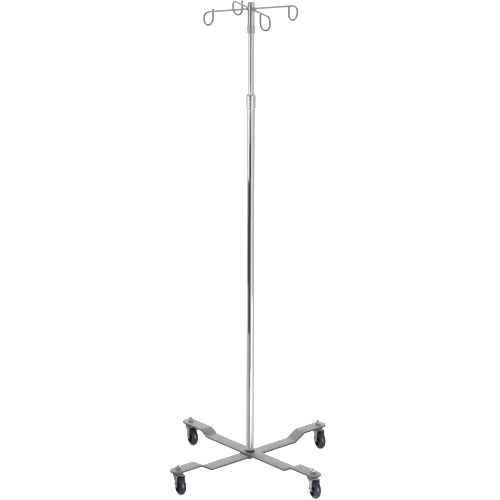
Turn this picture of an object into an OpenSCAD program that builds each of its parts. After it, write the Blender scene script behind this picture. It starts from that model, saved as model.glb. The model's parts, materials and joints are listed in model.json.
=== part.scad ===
// Mobile infusion stand: a telescoping two-stage pole on a low cross base
// with four swivel casters, a twist-lock collar and a lift-off head that
// carries four pigtail bag hooks.
// Millimetres. +Z is up, +X is right and -Y is front.
// The origin is on the floor, on the pole's axis.

/* [Pole] */
// Outside diameter of the lower, fixed tube
lower_od = 25.4; // [25:0.1:26]
// Wall of the lower tube
lower_wall = 1.65; // [1.5:0.05:1.8]
// Outside diameter of the upper, sliding tube
upper_od = 19.05; // [18.8:0.05:19.2]
// Wall of the upper tube
upper_wall = 1.25; // [1:0.05:1.6]
// Height of the lower tube's top end above the floor
lower_top = 1180; // [1000:5:1250]
// How far the upper tube stands out of the collar, collar top to head sleeve
extension = 186; // [150:1:300]
// Length of the upper tube
upper_length = 1140; // [900:10:1140]

/* [Lock collar] */
// Outside diameter of the twist-lock collar
collar_od = 30; // [29.6:0.1:32]
// Height of the collar
collar_h = 43.4; // [42:0.1:46]

/* [Head] */
// Outside diameter of the head tube
head_od = 22.2; // [22:0.1:23]
// Height of the head, sleeve bottom to tube top
head_h = 91.6; // [88:0.1:110]
// Outside diameter of the satin sleeve at the head's foot
sleeve_od = 24.6; // [24:0.1:27]
// Height of that sleeve
sleeve_h = 23.4; // [15:0.1:26]
// Depth of the hook arms' centre below the head's top
arm_drop = 19.4; // [14:0.1:22]

/* [Hooks] */
// Wire diameter of the hooks
wire_d = 6.35; // [5:0.05:6.35]
// Distance of the hook's outermost wire centre from the pole axis
hook_reach = 148; // [130:1:170]
// Width of a hook's loop along the arm, wire centre to wire centre
loop_w = 34; // [30:1:40]
// Sideways step of the pigtail, wire centre to wire centre
loop_side = 16; // [12:1:22]
// Bend radius from the arm down into the loop
arm_bend = 17; // [10:0.5:20]
// Straight wire between the two bends on the outer side
loop_drop = 5; // [2:0.5:12]
// Length of the straight wire that rises to the tip
tip_rise = 25; // [14:0.5:30]
// Direction of the first hook, degrees from +X
hook_turn = 25.3; // [0:0.1:90]

/* [Cross base] */
// Distance from the pole axis to a caster stem
stem_r = 290; // [280:1:330]
// Width of the flat steel leg bars
bar_w = 44.45; // [40:0.05:50]
// Thickness of the leg bars
bar_t = 6.35; // [6:0.05:6.6]
// Centre of the upper bar's rising step, from the pole axis
upper_step_r = 197.5; // [180:0.5:215]
// Centre of the lower bar's rising step, from the pole axis
lower_step_r = 194; // [180:0.5:215]
// Height of the bars' ends over the upper bar's middle
leg_rise = 16; // [14:0.5:20]
// Slope of the rising step
step_angle = 30; // [28:0.5:35]

/* [Casters] */
// Diameter of the wheels
wheel_d = 60; // [58:0.1:60.4]
// Width of the wheels
wheel_w = 22.4; // [22:0.1:22.8]
// Floor to the underside of the leg ends
caster_h = 70.5; // [70.4:0.1:72]
// Trail of the wheel axle behind the stem
trail = 15; // [14:0.5:16]
// Direction in which the wheels trail, degrees from +X
caster_turn = -61; // [-180:1:180]

/* [Hidden] */
$fn = 64;

chrome = [0.80, 0.81, 0.83];
satin = [0.72, 0.73, 0.75];
zinc = [0.62, 0.64, 0.68];
bar_grey = [0.62, 0.63, 0.63];
steel = [0.68, 0.69, 0.70];
dark = [0.13, 0.14, 0.17];
nylon = [0.20, 0.20, 0.21];
black_steel = [0.2, 0.2, 0.21];
white_nylon = [0.86, 0.86, 0.84];

// heights in the base
leg_z = caster_h;                       // underside of a leg end
leg_top = leg_z + bar_t;
upper_bar_z = leg_z - leg_rise;         // underside of the upper bar's middle
lower_bar_z = upper_bar_z - bar_t;
base_top = upper_bar_z + bar_t;         // where the pole stands
// directions of the four legs: right front, right back, left back, left front
leg_angles = [-45, 45, 135, -135];

// radii of the pole
lower_r = lower_od / 2;
lower_ir = lower_r - lower_wall;
upper_r = upper_od / 2;
upper_ir = upper_r - upper_wall;
head_r = head_od / 2;
wire_r = wire_d / 2;

// heights on the pole
collar_top = lower_top + 22;
collar_z = collar_top - collar_h;
head_z = collar_top + extension;        // foot of the head
head_top = head_z + head_h;
arm_z = head_top - arm_drop;
seat_z = head_z + 54;                   // blind end of the head's socket
plug_cap = 3;                           // cap of the upper tube's plug
upper_top = seat_z - plug_cap;
upper_bottom = upper_top - upper_length;

// ---------- small shapes ----------

// solid of revolution; all its outlines are lists of [radius, height]
module turned(points) { rotate_extrude() polygon(points); }

// turned piece symmetric about z = 0, from its upper half outline
module turned_symmetric(half) {
  turned(concat(half,
    [for (i = [len(half) - 1:-1:0]) if (half[i][1] > 0) [half[i][0], -half[i][1]]]));
}

// ring with square edges
module ring(inner, outer, bottom, top) {
  translate([0, 0, bottom]) difference() {
    cylinder(r = outer, h = top - bottom);
    translate([0, 0, -1]) cylinder(r = inner, h = top - bottom + 2);
  }
}

// hexagon nut or bolt head, both rims chamfered; bore is a radius, 0 for none
module hex_body(across_flats, height, bore) {
  corner_r = across_flats / 2 / cos(30);
  face_r = across_flats / 2 * 0.95;
  chamfer = (corner_r - face_r) * 0.6;
  rim_r = corner_r + 0.05;
  difference() {
    intersection() {
      cylinder(r = corner_r, h = height, $fn = 6);
      turned([[0, 0], [face_r, 0], [rim_r, chamfer],
              [rim_r, height - chamfer], [face_r, height], [0, height]]);
    }
    if (bore > 0) translate([0, 0, -1]) cylinder(r = bore, h = height + 2);
  }
}

// split spring washer
module split_washer(inner, outer, height) {
  gap = 1;
  difference() {
    ring(inner, outer, 0, height);
    rotate([0, 0, 30]) translate([inner - 1, -gap / 2, -1])
      cube([outer, gap, height + 2]);
  }
}

// wire bend in the XZ plane about the origin, angles measured from +X to +Z
module wire_bend(radius, from, sweep) {
  rotate([90, 0, 0]) rotate_extrude(angle = sweep, start = from)
    translate([radius, 0]) circle(r = wire_r);
}

// ---------- cross base ----------

bend_in = 8;                            // inside radius of a bar's bends
bend_out = bend_in + bar_t;
bend_steps = 8;                         // chords along one bend
tip_x = stem_r + 5;                     // centre of a bar's rounded tip
stem_hole_r = 5.25;
bolt_r = 6;
bolt_hole_r = bolt_r + 0.5;
bolt_length = 50;                       // without the head and end chamfer
bolt_head_h = 7.5;
flat_washer_t = 2;
base_lock_t = 2.6;
bolt_seat_z = lower_bar_z - flat_washer_t - base_lock_t;

// one edge of a joggled bar's side outline, [x, z] from its first bend out to
// the tip centre: bend up, slope, bend back, flat; lift is the height over
// the underside
function bar_edge(rise, step_r, lift) =
  let (bends = bend_in + bend_out,
       slope = (rise - bends * (1 - cos(step_angle))) / sin(step_angle),
       span = bends * sin(step_angle) + slope * cos(step_angle),
       start_x = step_r - span / 2,
       end_x = start_x + span,
       first_r = bend_out - lift,
       second_r = bend_in + lift)
  concat(
    [for (k = [0:bend_steps]) let (angle = step_angle * k / bend_steps)
      [start_x + first_r * sin(angle), bend_out - first_r * cos(angle)]],
    [for (k = [bend_steps:-1:0]) let (angle = step_angle * k / bend_steps)
      [end_x - second_r * sin(angle), rise - bend_in + second_r * cos(angle)]],
    [[tip_x, rise + lift]]);

function reverse(points) = [for (i = [len(points) - 1:-1:0]) points[i]];

// edge of the whole bar from that of its +X half
function both_halves(edge) =
  concat([for (point = reverse(edge)) [-point[0], point[1]]], edge);

// joggled flat bar along X, underside of its middle at z = 0
module joggled_bar(rise, step_r) {
  under = both_halves(bar_edge(rise, step_r, 0));
  over = both_halves(bar_edge(rise, step_r, bar_t));
  difference() {
    union() {
      rotate([90, 0, 0]) linear_extrude(height = bar_w, center = true)
        polygon(concat(under, reverse(over)));
      for (side = [-1, 1]) translate([side * tip_x, 0, rise])
        cylinder(r = bar_w / 2, h = bar_t);
    }
    for (side = [-1, 1]) translate([side * stem_r, 0, rise - 1])
      cylinder(r = stem_hole_r, h = bar_t + 2);
    translate([0, 0, -1]) cylinder(r = bolt_hole_r, h = bar_t + 2);
  }
}

module upper_leg_bar() {
  color(bar_grey) translate([0, 0, upper_bar_z]) rotate([0, 0, leg_angles[0]])
    joggled_bar(leg_rise, upper_step_r);
}

// steps up one bar thickness more, so that all four ends are level
module lower_leg_bar() {
  color(bar_grey) translate([0, 0, lower_bar_z]) rotate([0, 0, leg_angles[1]])
    joggled_bar(leg_rise + bar_t, lower_step_r);
}

// hexagon bolt that clamps the crossing from below
module base_bolt() {
  color(zinc) translate([0, 0, bolt_seat_z]) {
    translate([0, 0, -bolt_head_h])
      hex_body(across_flats = 19, height = bolt_head_h, bore = 0);
    cylinder(r = bolt_r, h = bolt_length);
    translate([0, 0, bolt_length]) cylinder(r1 = bolt_r, r2 = bolt_r - 1, h = 1);
  }
}

module base_flat_washer() {
  color(zinc) ring(6.4, 14, lower_bar_z - flat_washer_t, lower_bar_z);
}

module base_lock_washer() {
  color(zinc) translate([0, 0, bolt_seat_z])
    split_washer(inner = 6.2, outer = 10.2, height = base_lock_t);
}

// bored steel plug in the foot of the lower tube, countersunk at the top
module foot_plug() {
  plug_h = 38;
  bore = bolt_r + 0.02;
  color(zinc) translate([0, 0, base_top]) difference() {
    cylinder(r = lower_ir, h = plug_h);
    translate([0, 0, -1]) cylinder(r = bore, h = plug_h + 2);
    turned([[0, plug_h - 1.5], [bore, plug_h - 1.5], [8, plug_h + 0.5], [0, plug_h + 0.5]]);
  }
}

// stepped ring that hides the joint between tube and bar
module foot_ring() {
  z = base_top;
  color(black_steel) turned([
    [lower_r, z], [lower_r + 1.9, z], [lower_r + 1.9, z + 2.4],
    [lower_r + 1.5, z + 3.2], [lower_r + 0.9, z + 4.2], [lower_r + 0.7, z + 5.6],
    [lower_r, z + 6]]);
}

module lower_tube() {
  color(chrome) ring(lower_ir, lower_r, base_top, lower_top);
}

// ---------- twist lock ----------

ferrule_r = lower_r + 0.95;
ferrule_top = lower_top + 4;
collet_ir = upper_r + 0.06;
jaw_h = 11;                             // jaw's top over the ferrule's
jaw_top_r = collet_ir + 1.9;
wiper_seat_r = upper_r + 2.6;
wiper_seat_z = collar_top - 4;

// grooved sleeve round the top of the lower tube, its lip over the tube's end
module collar_ferrule() {
  bottom = lower_top - 16;
  groove_pitch = 2.4;
  groove_w = 1;
  color(satin) difference() {
    turned([[lower_r, bottom], [ferrule_r - 0.5, bottom], [ferrule_r, bottom + 0.5],
            [ferrule_r, ferrule_top - 0.5], [ferrule_r - 0.5, ferrule_top],
            [lower_ir, ferrule_top], [lower_ir, lower_top], [lower_r, lower_top]]);
    // thread relief grooves
    for (i = [0:5]) let (z = bottom + 3 + i * groove_pitch)
      ring(ferrule_r - 0.3, ferrule_r + 1, z, z + groove_w);
  }
}

// split nylon grip: sleeve in the tube, flange on the ferrule, tapered jaw
module collet() {
  z = ferrule_top;
  sleeve_r = lower_ir - 0.05;
  flange_r = lower_r - 0.2;
  slot_w = 1.2;
  color(nylon) difference() {
    turned([[collet_ir, z - 30], [sleeve_r, z - 30], [sleeve_r, z],
            [flange_r, z], [flange_r, z + 2.5], [jaw_top_r, z + jaw_h],
            [collet_ir, z + jaw_h]]);
    // saw cuts that let the jaw close on the upper tube
    for (angle = [0:90:270]) rotate([0, 0, angle])
      translate([upper_r - 1, -slot_w / 2, z - 6]) cube([8, slot_w, 20]);
  }
}

module lock_collar() {
  outer = collar_od / 2;
  ferrule_bore = ferrule_r + 0.08;      // runs on the ferrule
  foot_bore = lower_r + 0.09;           // runs on the lower tube
  mouth_bore = upper_r + 0.3;           // clears the upper tube
  jaw_bore = jaw_top_r + 0.1;
  foot = collar_z;
  top = collar_top;
  jaw_z = ferrule_top;
  color(chrome) turned([
    [foot_bore, foot], [outer - 2.2, foot], [outer - 1.2, foot + 0.5], [outer, foot + 2.6],
    // shallow groove below the top rim
    [outer, top - 4.2], [outer - 0.55, top - 3.9],
    [outer - 0.55, top - 3.1], [outer - 0.1, top - 2.8],
    [outer - 0.6, top - 0.9], [outer - 1.8, top],
    // wiper seat and mouth
    [wiper_seat_r, top], [wiper_seat_r, wiper_seat_z], [mouth_bore, wiper_seat_z],
    [mouth_bore, jaw_z + jaw_h + 1],
    // taper over the jaw, then the bores for ferrule and tube
    [jaw_bore, jaw_z + jaw_h + 1], [jaw_bore, jaw_z + jaw_h], [lower_r + 0.05, jaw_z + 2.6],
    [ferrule_bore, jaw_z + 1], [ferrule_bore, foot + 4.6], [foot_bore, foot + 4.6]]);
}

// dark wiper ring let into the collar's mouth
module collar_wiper() {
  inner = upper_r + 0.07;
  color(dark) turned([
    [inner, wiper_seat_z], [wiper_seat_r, wiper_seat_z], [wiper_seat_r, collar_top - 0.6],
    [upper_r + 1.9, collar_top - 0.2], [inner, collar_top - 1.4]]);
}

// ---------- sliding upper tube ----------

// nylon guide that centres the upper tube's foot in the lower tube
module guide_bushing() {
  z = upper_bottom;
  bore = 4;
  flange_r = lower_ir - 0.04;
  spigot_r = upper_ir - 0.06;
  color(white_nylon) turned([
    [bore, z - 9], [lower_ir - 1, z - 9], [flange_r, z - 8],
    [flange_r, z - 0.06], [spigot_r, z - 0.06], [spigot_r, z + 22],
    [upper_ir - 1, z + 23], [bore, z + 23]]);
}

module inner_tube() {
  color(chrome) ring(upper_ir, upper_r, upper_bottom, upper_top);
}

// plug that closes the upper tube's top, the head rests on it
module inner_tube_plug() {
  z = upper_top;
  color(nylon) turned([
    [0, z - 14], [upper_ir - 0.8, z - 14], [upper_ir, z - 13], [upper_ir, z],
    [upper_r - 0.1, z], [upper_r - 0.1, z + 1.6],
    [upper_r - 1.5, z + plug_cap], [0, z + plug_cap]]);
}

// ---------- head ----------

head_bore = head_r - 1.7;               // radius of the recess in the top
recess_z = head_top - 9;                // floor of that recess

module head_tube() {
  socket_r = upper_r + 0.08;
  color(chrome) turned([
    [socket_r, head_z + 0.8], [socket_r + 0.8, head_z],
    [head_r, head_z], [head_r, head_top - 0.6], [head_r - 0.6, head_top],
    [head_bore, head_top], [head_bore, recess_z],
    [0, recess_z], [0, seat_z], [socket_r, seat_z]]);
}

// dark plug in the top end of the head
module head_plug() {
  z = head_top;
  color(dark) turned([[0, recess_z], [head_bore, recess_z], [head_bore, z - 0.7],
                      [head_bore - 1.2, z - 0.2], [0, z + 0.3]]);
}

// satin sleeve round the foot of the head
module head_sleeve() {
  top = head_z + sleeve_h;
  outer = sleeve_od / 2;
  color(satin) turned([
    [head_r, head_z], [outer - 0.5, head_z], [outer, head_z + 0.5],
    [outer, top - 0.7], [outer - 0.7, top], [head_r, top]]);
}

// ---------- hooks ----------

// hook along +X: straight arm, bend down, skewed half turn, upright tip
module hook_shape() {
  skew = atan2(loop_side, loop_w);
  // half the skewed loop's width, rounded to 0.01
  loop_r = round(50 * norm([loop_w, loop_side])) / 100;
  arm_end = hook_reach - arm_bend;
  bend_z = arm_z - arm_bend;
  weld_r = wire_r + 1.9;
  // arm with its weld fillet, saddle-cut to the head tube
  difference() {
    translate([0, 0, arm_z]) rotate([0, 90, 0]) turned([
      [0, head_r - 3], [weld_r, head_r - 3], [weld_r, head_r + 0.4],
      [wire_r + 0.7, head_r + 1.6], [wire_r, head_r + 3], [wire_r, arm_end], [0, arm_end]]);
    translate([0, 0, arm_z - 20]) cylinder(r = head_r, h = 40);
  }
  translate([arm_end, 0, bend_z]) wire_bend(arm_bend, from = 0, sweep = 90);
  translate([hook_reach, 0, bend_z - loop_drop]) rotate([0, 0, skew]) {
    cylinder(r = wire_r, h = loop_drop);
    translate([-loop_r, 0, 0]) wire_bend(loop_r, from = 180, sweep = 180);
    // upright end with a rounded rim
    translate([-2 * loop_r, 0, 0]) turned([
      [0, 0], [wire_r, 0], [wire_r, tip_rise],
      [wire_r * 0.9, tip_rise + wire_r * 0.38],
      [wire_r * 0.62, tip_rise + wire_r * 0.68],
      [wire_r * 0.3, tip_rise + wire_r * 0.84],
      [0, tip_rise + wire_r * 0.88]]);
  }
}

// hooks count from 1
module hook(i) { color(chrome) rotate([0, 0, hook_turn + 90 * (i - 1)]) hook_shape(); }

// ---------- casters ----------
// A caster's own frame has its stem on the Z axis and its wheel trailing
// along +X; the axle runs along Y.

stem_shank = 5;                         // stem radius above the race
king_r = 4.83;                          // stem radius through the fork crown
crown_z = leg_z - 9.1;                  // underside of the fork crown
crown_t = 2.4;
crown_top = crown_z + crown_t;
race_z = leg_z - 3;                     // underside of the race's inner part
stem_lock_t = 1.8;
stem_nut_h = 8.4;
ball_r = 2;
ball_pitch = 9;                         // radius of the ball circle
ball_z = crown_top + 1.5;
cheek_in = wheel_w / 2 + 1.6;           // stem axis to a cheek's inner face
cheek_t = 2.4;
cheek_out = cheek_in + cheek_t;
axle_z = wheel_d / 2;
axle_r = 2.6;
axle_nut_h = 4;
axle_sleeve_r = 4;
eye_r = 5;                              // rounded lower end of a cheek
rim_r = wheel_d / 2 - 8.6;              // joint of hub and tyre

// puts a caster part at leg i (0 to 3)
module at_caster(i) {
  rotate([0, 0, leg_angles[i]]) translate([stem_r, 0, 0])
    rotate([0, 0, caster_turn - leg_angles[i]]) children();
}

// lays a part's Z axis along the axle, +Z towards -Y
module on_axle() { translate([trail, 0, axle_z]) rotate([90, 0, 0]) children(); }

// ring of round section that the swivel balls run in
module ball_groove(clearance) {
  translate([0, 0, ball_z]) rotate_extrude() translate([ball_pitch, 0])
    circle(r = ball_r + clearance);
}

// stem with a wider foot under the fork crown
module stem_shape() {
  nut_top = leg_top + stem_lock_t + stem_nut_h;
  turned([
    [0, crown_z - 1.1], [5.2, crown_z - 1.1], [6.2, crown_z - 0.5], [6.2, crown_z - 0.08],
    [king_r, crown_z - 0.08], [king_r, race_z], [stem_shank, race_z],
    [stem_shank, nut_top + 4.6], [stem_shank - 1, nut_top + 5.8], [0, nut_top + 5.8]]);
}

// pressed cup over the swivel balls, clamped to the underside of the leg
module race_shape() {
  skirt_z = crown_top + 0.35;
  difference() {
    turned([[stem_shank, race_z], [stem_shank, leg_z], [11.6, leg_z], [13.2, leg_z - 1.4],
            [13.4, skirt_z], [11.9, skirt_z], [11.7, race_z]]);
    ball_groove(0.06);
  }
}

module caster_stems() { color(zinc) for (i = [0:3]) at_caster(i) stem_shape(); }
module upper_races() { color(zinc) for (i = [0:3]) at_caster(i) race_shape(); }

// each nut and washer is turned differently
module stem_nuts() {
  color(steel) for (i = [0:3]) at_caster(i) rotate([0, 0, 12 + 17 * i])
    translate([0, 0, leg_top + stem_lock_t])
      hex_body(across_flats = 16, height = stem_nut_h, bore = stem_shank);
}

module stem_lock_washers() {
  color(steel) for (i = [0:3]) at_caster(i) rotate([0, 0, 70 * i])
    translate([0, 0, leg_top])
      split_washer(inner = stem_shank + 0.2, outer = 8.6, height = stem_lock_t);
}

// one cheek of the fork as a flat [x, z] outline: straight on the trailing
// side, swept in on the other, from the crown to the rounded eye at the axle
module cheek_outline() {
  polygon([
    [trail - 25, crown_top], [trail - 25, crown_z - 2.6],
    [trail - 22, axle_z + 27], [trail - 17, axle_z + 22.6],
    [trail - 13.4, axle_z + 18.4], [trail - 10.4, axle_z + 13.6],
    [trail - 7.8, axle_z + 8], [trail - eye_r, axle_z], [trail + eye_r, axle_z],
    [trail + eye_r, crown_z - 2.6], [trail + 3.6, crown_z], [trail + 3, crown_top]]);
  translate([trail, axle_z]) circle(r = eye_r);
}

// pressed fork: round crown, two cheeks, ball groove, king-pin bore
module fork_shape() {
  difference() {
    union() {
      translate([0, 0, crown_z]) intersection() {
        cylinder(r = cheek_out + 0.6, h = crown_t);
        translate([-30, -cheek_out, -1]) cube([60, 2 * cheek_out, 10]);
      }
      translate([0, -cheek_out, crown_z]) cube([trail + 3, 2 * cheek_out, crown_t]);
      for (y = [-cheek_in, cheek_out]) translate([0, y, 0])
        rotate([90, 0, 0]) linear_extrude(height = cheek_t) cheek_outline();
    }
    translate([0, 0, crown_z - 5]) cylinder(r = king_r + 0.07, h = 20);
    ball_groove(0.03);
    on_axle() cylinder(r = axle_r + 0.02, h = 80, center = true);
  }
}

module balls_shape() {
  for (angle = [0:36:324]) rotate([0, 0, angle])
    translate([ball_pitch, 0, ball_z]) sphere(r = ball_r, $fn = 32);
}

// axle bolt with a domed head on the -Y side
module axle_shape() {
  thread = 5;                           // length beyond the +Y cheek
  on_axle() {
    translate([0, 0, cheek_out])
      turned([[0, 0], [4.6, 0], [4.6, 0.7], [4, 1.6], [2.4, 2.2], [0, 2.4]]);
    translate([0, 0, -cheek_out - thread])
      cylinder(r = axle_r, h = 2 * cheek_out + thread + 0.5);
  }
}

module axle_nut_shape() {
  translate([trail, cheek_out, axle_z]) rotate([-90, 0, 0])
    hex_body(across_flats = 8, height = axle_nut_h, bore = axle_r);
}

// steel sleeve clamped between the cheeks, the hub runs on it
module axle_sleeve_shape() {
  on_axle() translate([0, 0, -cheek_in])
    ring(axle_r + 0.02, axle_sleeve_r, 0, 2 * cheek_in);
}

// moulded hub: barrel, dished web and rim
module hub_shape() {
  bore = axle_sleeve_r + 0.06;
  barrel_r = 7.2;
  barrel_half = cheek_in - 0.5;
  rim_in = rim_r - 2.6;
  rim_half = wheel_w / 2 - 1.2;
  on_axle() turned_symmetric([
    [bore, barrel_half], [barrel_r - 0.6, barrel_half], [barrel_r, barrel_half - 0.6],
    [barrel_r, 4], [rim_in, 3],
    [rim_in, rim_half - 0.6], [rim_in + 0.6, rim_half], [rim_r, rim_half]]);
}

// solid tyre: round flanks running into a round tread, which is stretched
// sideways to meet them
module tyre_shape() {
  flank_r = 16;
  tread_r = 8.5;
  join_angle = 36.87;                   // where flank and tread meet
  steps = 12;                           // chords along half the tread
  tread_x = wheel_d / 2 - tread_r;
  flank_x = tread_x - (flank_r - tread_r) * sin(join_angle);
  flank_y = wheel_w / 2 - flank_r;
  stretch = (flank_y + flank_r * cos(join_angle)) / (tread_r * cos(join_angle));
  flank = [for (angle = [17.5:3:35.5])
    [flank_x + flank_r * sin(angle), flank_y + flank_r * cos(angle)]];
  tread = [for (i = [0:steps]) let (angle = join_angle + i * (90 - join_angle) / steps)
    [tread_x + tread_r * sin(angle), i == steps ? 0 : tread_r * cos(angle) * stretch]];
  on_axle() turned_symmetric(concat([[rim_r, flank[0][1] + 0.1]], flank, tread));
}

module fork(i) { color(zinc) at_caster(i) fork_shape(); }
module swivel_balls(i) { color(steel) at_caster(i) balls_shape(); }
module axle(i) { color(zinc) at_caster(i) axle_shape(); }
module axle_nut(i) { color(zinc) at_caster(i) axle_nut_shape(); }
module axle_sleeve(i) { color(zinc) at_caster(i) axle_sleeve_shape(); }
module hub(i) { color(nylon) at_caster(i) hub_shape(); }
module tyre(i) { color(dark) at_caster(i) tyre_shape(); }

upper_leg_bar();
lower_leg_bar();
base_bolt();
base_flat_washer();
base_lock_washer();
foot_plug();
foot_ring();
lower_tube();
collar_ferrule();
collet();
caster_stems();
upper_races();
stem_nuts();
stem_lock_washers();
lock_collar();
collar_wiper();
guide_bushing();
inner_tube();
inner_tube_plug();
head_tube();
head_plug();
head_sleeve();
hook(1);  // hook_1
hook(2);  // hook_2
hook(3);  // hook_3
hook(4);  // hook_4
fork(0);  // fork_rf
fork(1);  // fork_rb
fork(2);  // fork_lb
fork(3);  // fork_lf
swivel_balls(0);  // swivel_balls_rf
swivel_balls(1);  // swivel_balls_rb
swivel_balls(2);  // swivel_balls_lb
swivel_balls(3);  // swivel_balls_lf
axle(0);  // axle_rf
axle(1);  // axle_rb
axle(2);  // axle_lb
axle(3);  // axle_lf
axle_nut(0);  // axle_nut_rf
axle_nut(1);  // axle_nut_rb
axle_nut(2);  // axle_nut_lb
axle_nut(3);  // axle_nut_lf
axle_sleeve(0);  // axle_sleeve_rf
axle_sleeve(1);  // axle_sleeve_rb
axle_sleeve(2);  // axle_sleeve_lb
axle_sleeve(3);  // axle_sleeve_lf
hub(0);  // hub_rf
hub(1);  // hub_rb
hub(2);  // hub_lb
hub(3);  // hub_lf
tyre(0);  // tyre_rf
tyre(1);  // tyre_rb
tyre(2);  // tyre_lb
tyre(3);  // tyre_lf
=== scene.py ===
# A wheeled pole stand. The pole runs up Z through the origin and the floor is z = 0.
# Two joggled leg bars cross under it at 45 degrees to X, each end on a swivel caster.
# A sliding tube, held by a twist-lock collar, carries a head with four wire hooks.
# Piece sizes are in millimetres; the stage, lights and camera are in metres.
import json
import math
import bpy
import bmesh
from mathutils import Vector, Matrix


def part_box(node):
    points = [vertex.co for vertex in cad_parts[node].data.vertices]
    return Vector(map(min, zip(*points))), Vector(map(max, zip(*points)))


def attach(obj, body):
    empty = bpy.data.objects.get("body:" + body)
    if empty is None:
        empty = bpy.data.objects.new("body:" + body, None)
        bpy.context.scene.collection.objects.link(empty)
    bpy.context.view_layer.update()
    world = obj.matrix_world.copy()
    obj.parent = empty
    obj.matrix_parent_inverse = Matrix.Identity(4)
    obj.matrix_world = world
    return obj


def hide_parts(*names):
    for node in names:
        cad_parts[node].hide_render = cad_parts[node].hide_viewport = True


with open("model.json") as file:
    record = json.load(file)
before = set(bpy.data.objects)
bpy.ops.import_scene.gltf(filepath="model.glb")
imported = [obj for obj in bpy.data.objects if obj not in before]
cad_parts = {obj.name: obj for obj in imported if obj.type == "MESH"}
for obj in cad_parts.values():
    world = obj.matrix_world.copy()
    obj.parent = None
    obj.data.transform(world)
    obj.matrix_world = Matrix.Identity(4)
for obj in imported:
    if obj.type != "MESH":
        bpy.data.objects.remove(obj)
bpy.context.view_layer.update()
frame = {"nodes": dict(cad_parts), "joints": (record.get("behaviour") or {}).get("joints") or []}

NODES = frame["nodes"]
JOINTS = {joint["name"]: joint for joint in frame["joints"]}
MM = 0.001
CORNERS = ["rf", "rb", "lb", "lf"]
scene = bpy.context.scene


# --------------------------------------------------------------------------
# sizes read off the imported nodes
# --------------------------------------------------------------------------
def bottom(node):
    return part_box(node)[0].z / MM


def top(node):
    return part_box(node)[1].z / MM


def outer_radius(node):
    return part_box(node)[1].x / MM


LOWER_R = outer_radius("lower_tube")
UPPER_R = outer_radius("inner_tube")
COLLAR_R = outer_radius("lock_collar")
HEAD_R = outer_radius("head_tube")
SLEEVE_R = outer_radius("head_sleeve")
LOWER_BOTTOM = bottom("lower_tube")
LOWER_TOP = top("lower_tube")
HEAD_BOTTOM = bottom("head_sleeve")
SLEEVE_TOP = top("head_sleeve")
HEAD_TOP = top("head_tube")
tyre_low, tyre_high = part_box("tyre_rf")
WHEEL_R = (tyre_high.z - tyre_low.z) / 2 / MM


# --------------------------------------------------------------------------
# shader helpers
# --------------------------------------------------------------------------
class Shader:
    """A node tree with short-hands; any value may be a plain value or an output socket."""

    def __init__(self, tree):
        self.tree = tree

    def node(self, kind, **settings):
        node = self.tree.nodes.new(kind)
        for key, value in settings.items():
            setattr(node, key, value)
        return node

    def feed(self, socket, value):
        if isinstance(value, bpy.types.NodeSocket):
            self.tree.links.new(value, socket)
            return
        if socket.type == "RGBA":
            value = (*value, 1.0)
        socket.default_value = value

    def remap(self, value, span, to=(0.0, 1.0)):
        """Carries the range `span` of a value over to the range `to`, clamped."""
        node = self.node("ShaderNodeMapRange")
        for i, bound in enumerate((*span, *to), 1):
            node.inputs[i].default_value = bound
        self.feed(node.inputs[0], value)
        return node.outputs[0]

    def math(self, operation, first, second):
        node = self.node("ShaderNodeMath", operation=operation)
        self.feed(node.inputs[0], first)
        self.feed(node.inputs[1], second)
        return node.outputs[0]

    def mix(self, factor, first, second):
        """Colour mix; sockets 0, 6 and 7 are the factor and the two colours."""
        node = self.node("ShaderNodeMix", data_type="RGBA")
        for i, value in ((0, factor), (6, first), (7, second)):
            self.feed(node.inputs[i], value)
        return node.outputs[2]


class Material(Shader):
    """A Principled material textured in object space."""

    def __init__(self, name):
        self.material = bpy.data.materials.new(name)
        self.material.use_nodes = True
        super().__init__(self.material.node_tree)
        self.principled = self.tree.nodes["Principled BSDF"]
        self.coords = self.node("ShaderNodeTexCoord").outputs["Object"]

    def set(self, **values):
        """Feeds Principled inputs; an underscore stands for a space in their names."""
        for key, value in values.items():
            self.feed(self.principled.inputs[key.replace("_", " ")], value)

    def noise(self, scale, detail=3.0, rough=0.5, distortion=0.0, stretch=None, output="Fac"):
        vector = self.coords
        if stretch:
            mapping = self.node("ShaderNodeMapping")
            mapping.inputs["Scale"].default_value = stretch
            self.feed(mapping.inputs["Vector"], vector)
            vector = mapping.outputs["Vector"]
        node = self.node("ShaderNodeTexNoise")
        node.inputs["Scale"].default_value = scale
        node.inputs["Detail"].default_value = detail
        node.inputs["Roughness"].default_value = rough
        node.inputs["Distortion"].default_value = distortion
        self.feed(node.inputs["Vector"], vector)
        return node.outputs[output]

    def voronoi(self, scale, feature="F1", vector=None):
        node = self.node("ShaderNodeTexVoronoi", feature=feature)
        node.inputs["Scale"].default_value = scale
        self.feed(node.inputs["Vector"], vector or self.coords)
        return node.outputs["Distance"]

    def bump(self, height, strength, distance, normal=None):
        node = self.node("ShaderNodeBump")
        node.inputs["Strength"].default_value = strength
        node.inputs["Distance"].default_value = distance
        self.feed(node.inputs["Height"], height)
        if normal is not None:
            self.feed(node.inputs["Normal"], normal)
        return node.outputs["Normal"]

    def edges(self, span=(0.505, 0.56)):
        """1 on convex edges, 0 on flats."""
        geometry = self.node("ShaderNodeNewGeometry")
        return self.remap(geometry.outputs["Pointiness"], span=span)


def dimmed(colour, factor):
    return tuple(channel * factor for channel in colour)


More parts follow.
